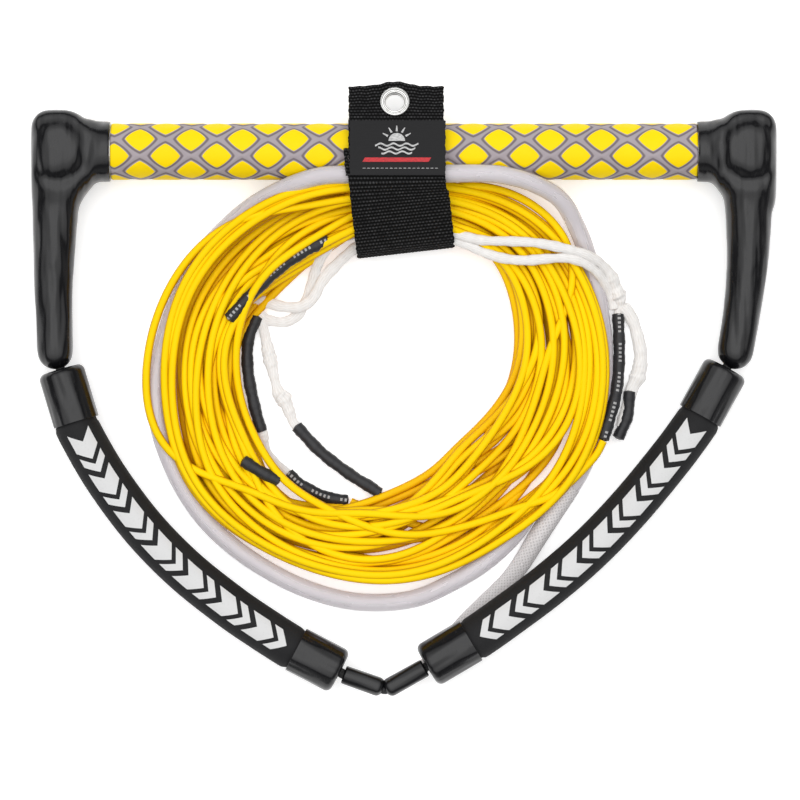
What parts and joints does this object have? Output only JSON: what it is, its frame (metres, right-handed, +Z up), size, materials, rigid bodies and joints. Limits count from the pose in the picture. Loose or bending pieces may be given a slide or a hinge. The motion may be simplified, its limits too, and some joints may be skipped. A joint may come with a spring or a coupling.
{
  "type": "tow rope handle",
  "caption": "Wakeboard tow rope handle: padded bar with moulded arms, rope bridle with foam floats, and a webbing strap that holds the coiled tow rope under the bar.",
  "frame": {"origin": "centre of the handle's bounding box, without the rope, on the surface that it lies on", "axes": "+X along the bar, +Y from the bridle's apex to the bar, +Z up off the surface"},
  "size_m": [0.3816, 0.3152, 0.0405],
  "materials": {
    "grip_foam": "soft grip foam, yellow diamonds over a grey lattice",
    "black_vinyl": "dipped glossy black vinyl",
    "black_foam": "matte closed-cell EVA foam",
    "aluminium": "drawn aluminium tube",
    "bridle_braid": "tight black braid",
    "webbing": "ribbed black polyester webbing",
    "label_satin": "woven black satin label",
    "nickel": "nickel-plated steel grommet",
    "yellow_rope": "yellow braided polyethylene rope",
    "clear_jacket": "clear tube over a white braid",
    "white_braid": "white braided rope",
    "shrink_sleeve": "black heat-shrink sleeve"
  },
  "bodies": {
    "handle": {"bar_tube": "aluminium", "grip_sleeve": "grip_foam", "bar_end_plug_left": "black_foam", "bar_end_plug_right": "black_foam", "arm_left": "black_vinyl", "arm_right": "black_vinyl", "arm_rope_left": "bridle_braid", "arm_rope_right": "bridle_braid", "strap_band": "webbing", "strap_cover": "webbing", "strap_label": "label_satin", "loop_field": "webbing", "main_line_coil": "yellow_rope", "handle_section_top": "clear_jacket", "handle_section_bottom": "clear_jacket", "eye_loop_right_upper": "white_braid", "eye_loop_right_lower": "white_braid", "eye_loop_right_outer": "white_braid", "eye_loop_left_upper": "white_braid", "eye_loop_left_lower": "white_braid", "braid_inner": "white_braid", "braid_lower": "white_braid", "leader_braid": "white_braid", "sleeve_over_coil": "shrink_sleeve", "sleeve_left": "shrink_sleeve", "sleeve_lower_left": "shrink_sleeve", "sleeve_length_mark": "shrink_sleeve", "sleeve_inner": "shrink_sleeve", "sleeve_right": "shrink_sleeve", "sleeve_right_outer": "shrink_sleeve"},
    "bridle": {"float_foam_left": "black_foam", "float_foam_right": "black_foam", "float_upper_cap_left": "black_vinyl", "float_upper_cap_right": "black_vinyl", "float_lower_cap_left": "black_vinyl", "float_lower_cap_right": "black_vinyl", "tip_sleeve_left": "black_vinyl", "tip_sleeve_right": "black_vinyl", "bridle_rope": "bridle_braid"},
    "closure_flap": {"strap_flap": "webbing", "hook_field": "webbing"},
    "hang_tab": {"strap_tab": "webbing", "grommet": "nickel", "grommet_washer": "nickel"}
  },
  "joints": [
    {"name": "bridle_fold", "type": "hinge", "parent": "handle", "child": "bridle", "pos_m": [0, 0.0194, 0.016], "axis": [-1, 0, 0], "range_deg": [0, 40]},
    {"name": "flap_peel", "type": "hinge", "parent": "handle", "child": "closure_flap", "pos_m": [0, 0.1079, 0.03984], "axis": [-1, 0, 0], "range_deg": [0, 110]},
    {"name": "tab_flex", "type": "hinge", "parent": "handle", "child": "hang_tab", "pos_m": [0, 0.1391, 0.03017], "axis": [1, 0, 0], "range_deg": [-20, 70]}
  ]
}
